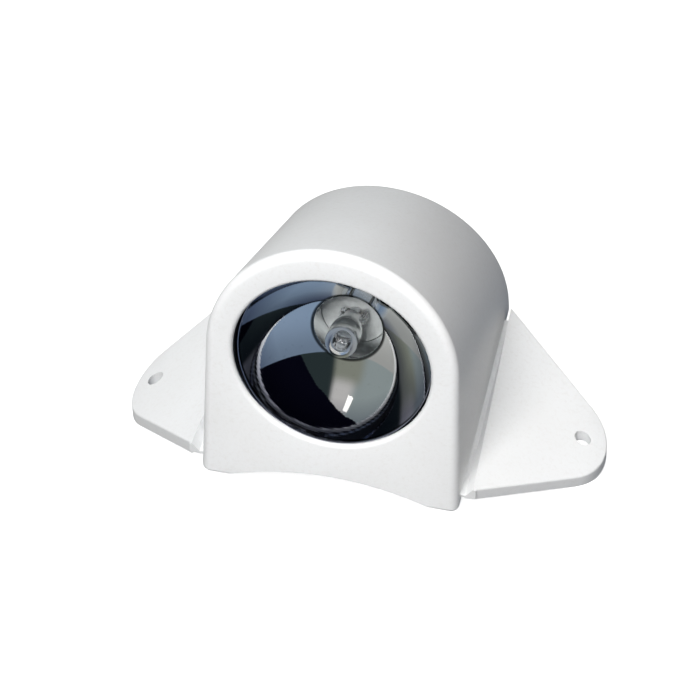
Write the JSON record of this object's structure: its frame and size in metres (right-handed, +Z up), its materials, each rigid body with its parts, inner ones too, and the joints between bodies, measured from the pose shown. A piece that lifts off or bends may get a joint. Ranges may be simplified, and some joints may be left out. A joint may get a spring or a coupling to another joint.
{
  "type": "deck light",
  "caption": "Mast-mounted deck light: white moulded tunnel housing with flexible screw ears and a pull-out two-pin reflector lamp in its round mouth.",
  "frame": {"origin": "under the middle of the light's box, on the table it stands on", "axes": "+Z up from the table, the lamp mouth faces -Y, +X to the right seen from the front; the light stands on its right front foot and its two ear tips, as in the picture"},
  "size_m": [0.1384, 0.091, 0.0809],
  "materials": {
    "white_plastic": "white moulded plastic, satin",
    "black_plastic": "black heat-resistant plastic",
    "bright_bowl": "pressed aluminium, polished bright",
    "quartz": "clear quartz",
    "tungsten": "bare tungsten and molybdenum",
    "ceramic": "unglazed white ceramic",
    "nickel": "nickel plated wire and pins",
    "steel": "stainless steel, brushed",
    "brass": "bright brass",
    "nylon": "natural nylon",
    "red_cover": "red silicone wire cover",
    "black_cover": "black silicone wire cover",
    "copper": "tinned copper strands"
  },
  "bodies": {
    "housing": {"housing_shell": "white_plastic", "lamp_collar": "black_plastic", "collar_screws": "steel", "retaining_spring": "steel", "lamp_holder": "ceramic", "holder_contacts": "brass", "holder_screws": "steel", "holder_bracket": "steel", "bracket_screws": "steel", "terminal_block": "nylon", "terminal_tubes": "brass", "terminal_screws": "steel", "block_screw": "steel", "lead_wire_red": "red_cover", "lead_wire_black": "black_cover", "lead_ends": "copper"},
    "lamp": {"lamp_reflector": "bright_bowl", "bulb_capsule": "quartz", "bulb_filament": "tungsten", "filament_posts": "tungsten", "bulb_foils": "tungsten", "bulb_leads": "nickel", "lamp_cement": "ceramic", "lamp_base": "ceramic", "lamp_pins": "nickel"},
    "left_ear": {"ear_left": "white_plastic"},
    "right_ear": {"ear_right": "white_plastic"}
  },
  "joints": [
    {"name": "right_ear_flex", "type": "hinge", "parent": "housing", "child": "right_ear", "pos_m": [0.03546, 0.0079, 0.01829], "axis": [0.0057, -0.9043, -0.4268], "range_deg": [-34.5, 7.5], "stiffness_Nm_per_rad": 1.5},
    {"name": "left_ear_flex", "type": "hinge", "parent": "housing", "child": "left_ear", "pos_m": [-0.03778, 0.0079, 0.02121], "axis": [0.0396, 0.9043, 0.425], "range_deg": [-23.5, 18.5], "stiffness_Nm_per_rad": 1.5},
    {"name": "lamp_pull", "type": "slide", "parent": "housing", "child": "lamp", "axis": [-0.0051, -0.9918, -0.1276], "range_m": [0, 0.045]}
  ]
}
